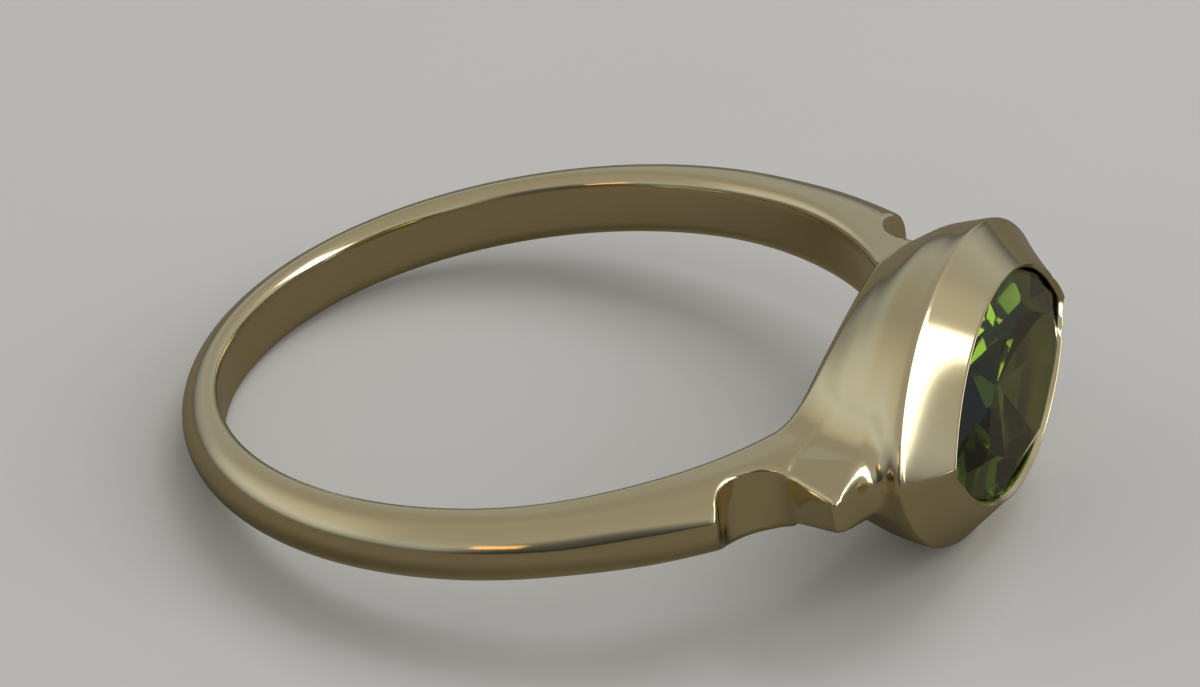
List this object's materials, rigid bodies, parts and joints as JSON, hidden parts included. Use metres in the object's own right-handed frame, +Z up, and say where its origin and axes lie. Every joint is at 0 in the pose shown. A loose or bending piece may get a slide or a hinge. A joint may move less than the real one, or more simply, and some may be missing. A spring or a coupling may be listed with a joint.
{
  "type": "peridot ring",
  "caption": "Slim half-round gold ring with scalloped shoulders and a navette peridot set flush across the finger in a domed bezel.",
  "frame": {"origin": "middle of the bounding box in plan, on the surface that the ring lies on", "axes": "+Z up from the surface, +X towards the bezel, Y across the bezel; the finger hole's axis leans back from +Z by 8.14 degrees"},
  "size_m": [0.022, 0.0198, 0.0073],
  "materials": {
    "gold": "polished pale yellow gold",
    "peridot": "faceted, olive green, clear"
  },
  "bodies": {
    "root": {"gold_mount": "gold", "peridot_stone": "peridot"}
  },
  "joints": []
}
